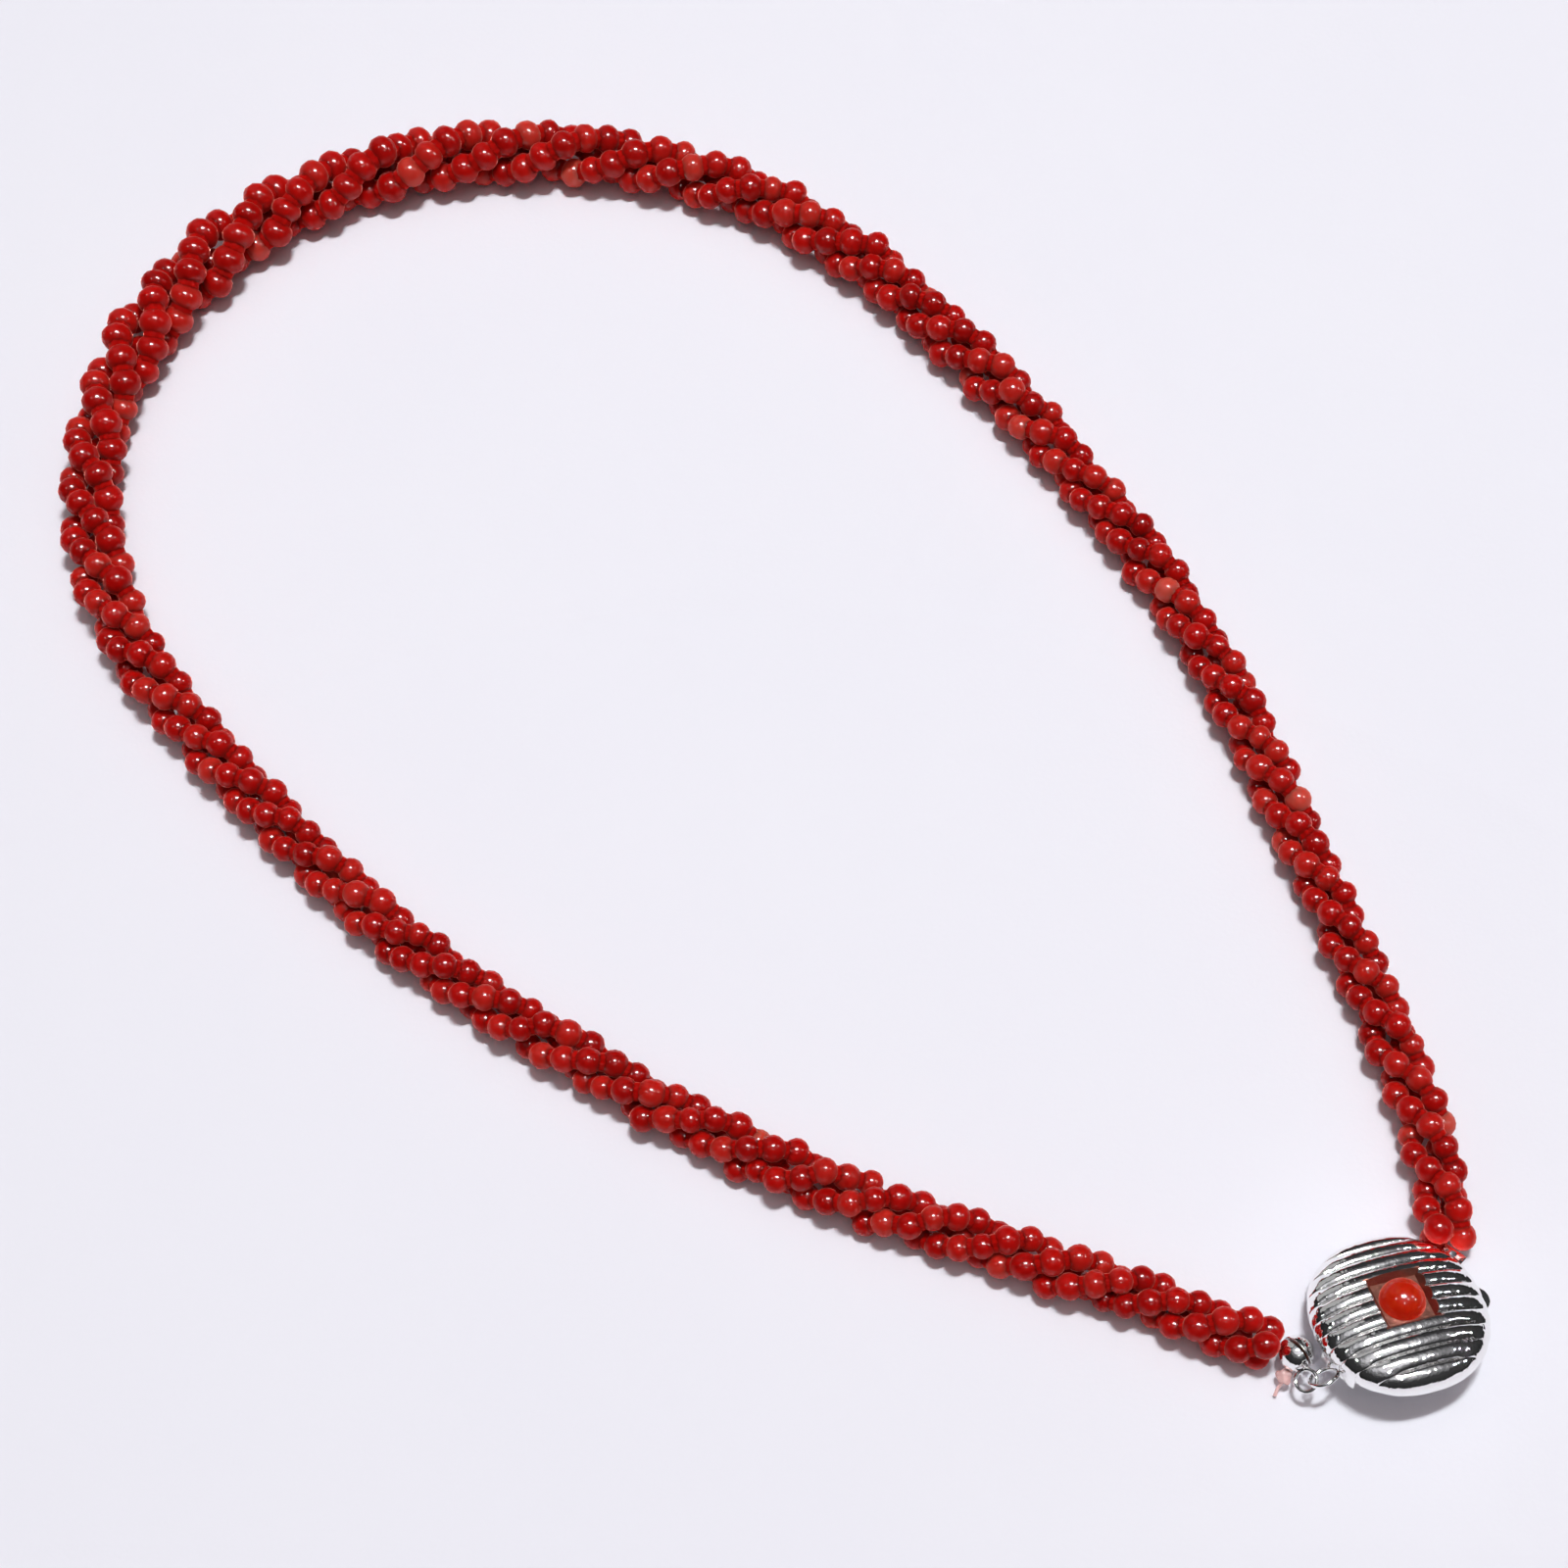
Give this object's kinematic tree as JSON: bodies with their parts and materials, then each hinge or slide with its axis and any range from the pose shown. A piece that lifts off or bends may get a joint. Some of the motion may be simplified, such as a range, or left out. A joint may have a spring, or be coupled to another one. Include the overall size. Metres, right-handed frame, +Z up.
{
  "type": "coral bead rope necklace with box clasp",
  "caption": "Twisted rope necklace of graduated red coral beads, closed by a round ribbed silver box clasp with a coral cabochon, lying in an open loop.",
  "frame": {"origin": "on the surface the necklace lies on, under the middle of its outline", "axes": "+Z up from that surface, +X towards the side of the clasp, -Y towards the near edge with the clasp, seen from above"},
  "size_m": [0.1454, 0.1484, 0.0086],
  "materials": {
    "coral": "polished translucent coral",
    "cabochon_coral": "polished coral",
    "silver": "bright rhodium-plated silver"
  },
  "bodies": {
    "root": {"strand_1": "coral", "strand_2": "coral", "strand_3": "coral", "clasp_body": "silver", "clasp_tongue": "silver", "cabochon": "cabochon_coral", "bead_tip": "silver"}
  },
  "joints": []
}
